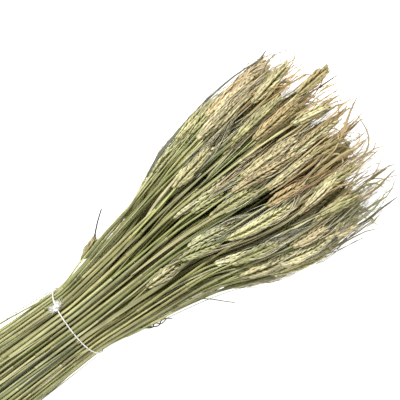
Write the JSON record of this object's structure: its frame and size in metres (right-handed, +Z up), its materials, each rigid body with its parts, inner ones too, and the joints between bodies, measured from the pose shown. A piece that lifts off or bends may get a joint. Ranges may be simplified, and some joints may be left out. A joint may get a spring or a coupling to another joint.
{
  "type": "bundle of dried wheat",
  "caption": "Bundle of dried bearded wheat lying on its side, stalks held by one string tie and ears fanned out at one end.",
  "frame": {"origin": "middle of the underside's box, on the surface that the bundle lies on", "axes": "+X along the stalks towards the ears, +Y across the bundle, +Z up"},
  "size_m": [0.621, 0.2194, 0.115],
  "materials": {
    "stalk": "dry straw, slightly shiny, with matt bearded ears",
    "inner_stalks": "dry straw and matt bearded ears",
    "dry_leaf": "dry, papery, ribbed",
    "string": "white twisted cord with frayed ends"
  },
  "bodies": {
    "root": {"inner_stalks_top_1": "inner_stalks", "inner_stalks_top_2": "inner_stalks", "inner_stalks_top_3": "inner_stalks", "inner_stalks_top_4": "inner_stalks", "inner_stalks_under_1": "inner_stalks", "inner_stalks_under_2": "inner_stalks", "inner_stalks_under_3": "inner_stalks", "inner_stalks_under_4": "inner_stalks", "wheat_stalk_01": "stalk", "wheat_stalk_02": "stalk", "wheat_stalk_03": "stalk", "wheat_stalk_04": "stalk", "wheat_stalk_05": "stalk", "wheat_stalk_06": "stalk", "wheat_stalk_07": "stalk", "wheat_stalk_08": "stalk", "wheat_stalk_09": "stalk", "wheat_stalk_10": "stalk", "wheat_stalk_11": "stalk", "wheat_stalk_12": "stalk", "wheat_stalk_13": "stalk", "wheat_stalk_14": "stalk", "wheat_stalk_15": "stalk", "wheat_stalk_16": "stalk", "wheat_stalk_17": "stalk", "wheat_stalk_18": "stalk", "wheat_stalk_19": "stalk", "wheat_stalk_20": "stalk", "wheat_stalk_21": "stalk", "wheat_stalk_22": "stalk", "wheat_stalk_23": "stalk", "wheat_stalk_24": "stalk", "wheat_stalk_25": "stalk", "wheat_stalk_26": "stalk", "wheat_stalk_27": "stalk", "wheat_stalk_28": "stalk", "wheat_stalk_29": "stalk", "wheat_stalk_30": "stalk", "wheat_stalk_31": "stalk", "wheat_stalk_32": "stalk", "wheat_stalk_33": "stalk", "wheat_stalk_34": "stalk", "wheat_stalk_35": "stalk", "wheat_stalk_36": "stalk", "wheat_stalk_37": "stalk", "wheat_stalk_38": "stalk", "wheat_stalk_39": "stalk", "wheat_stalk_40": "stalk", "wheat_stalk_41": "stalk", "wheat_stalk_42": "stalk", "wheat_stalk_43": "stalk", "stray_stalk": "stalk", "dry_leaf_1": "dry_leaf", "dry_leaf_2": "dry_leaf", "dry_leaf_3": "dry_leaf", "dry_leaf_4": "dry_leaf", "dry_leaf_5": "dry_leaf", "dry_leaf_6": "dry_leaf", "string_tie": "string"}
  },
  "joints": []
}
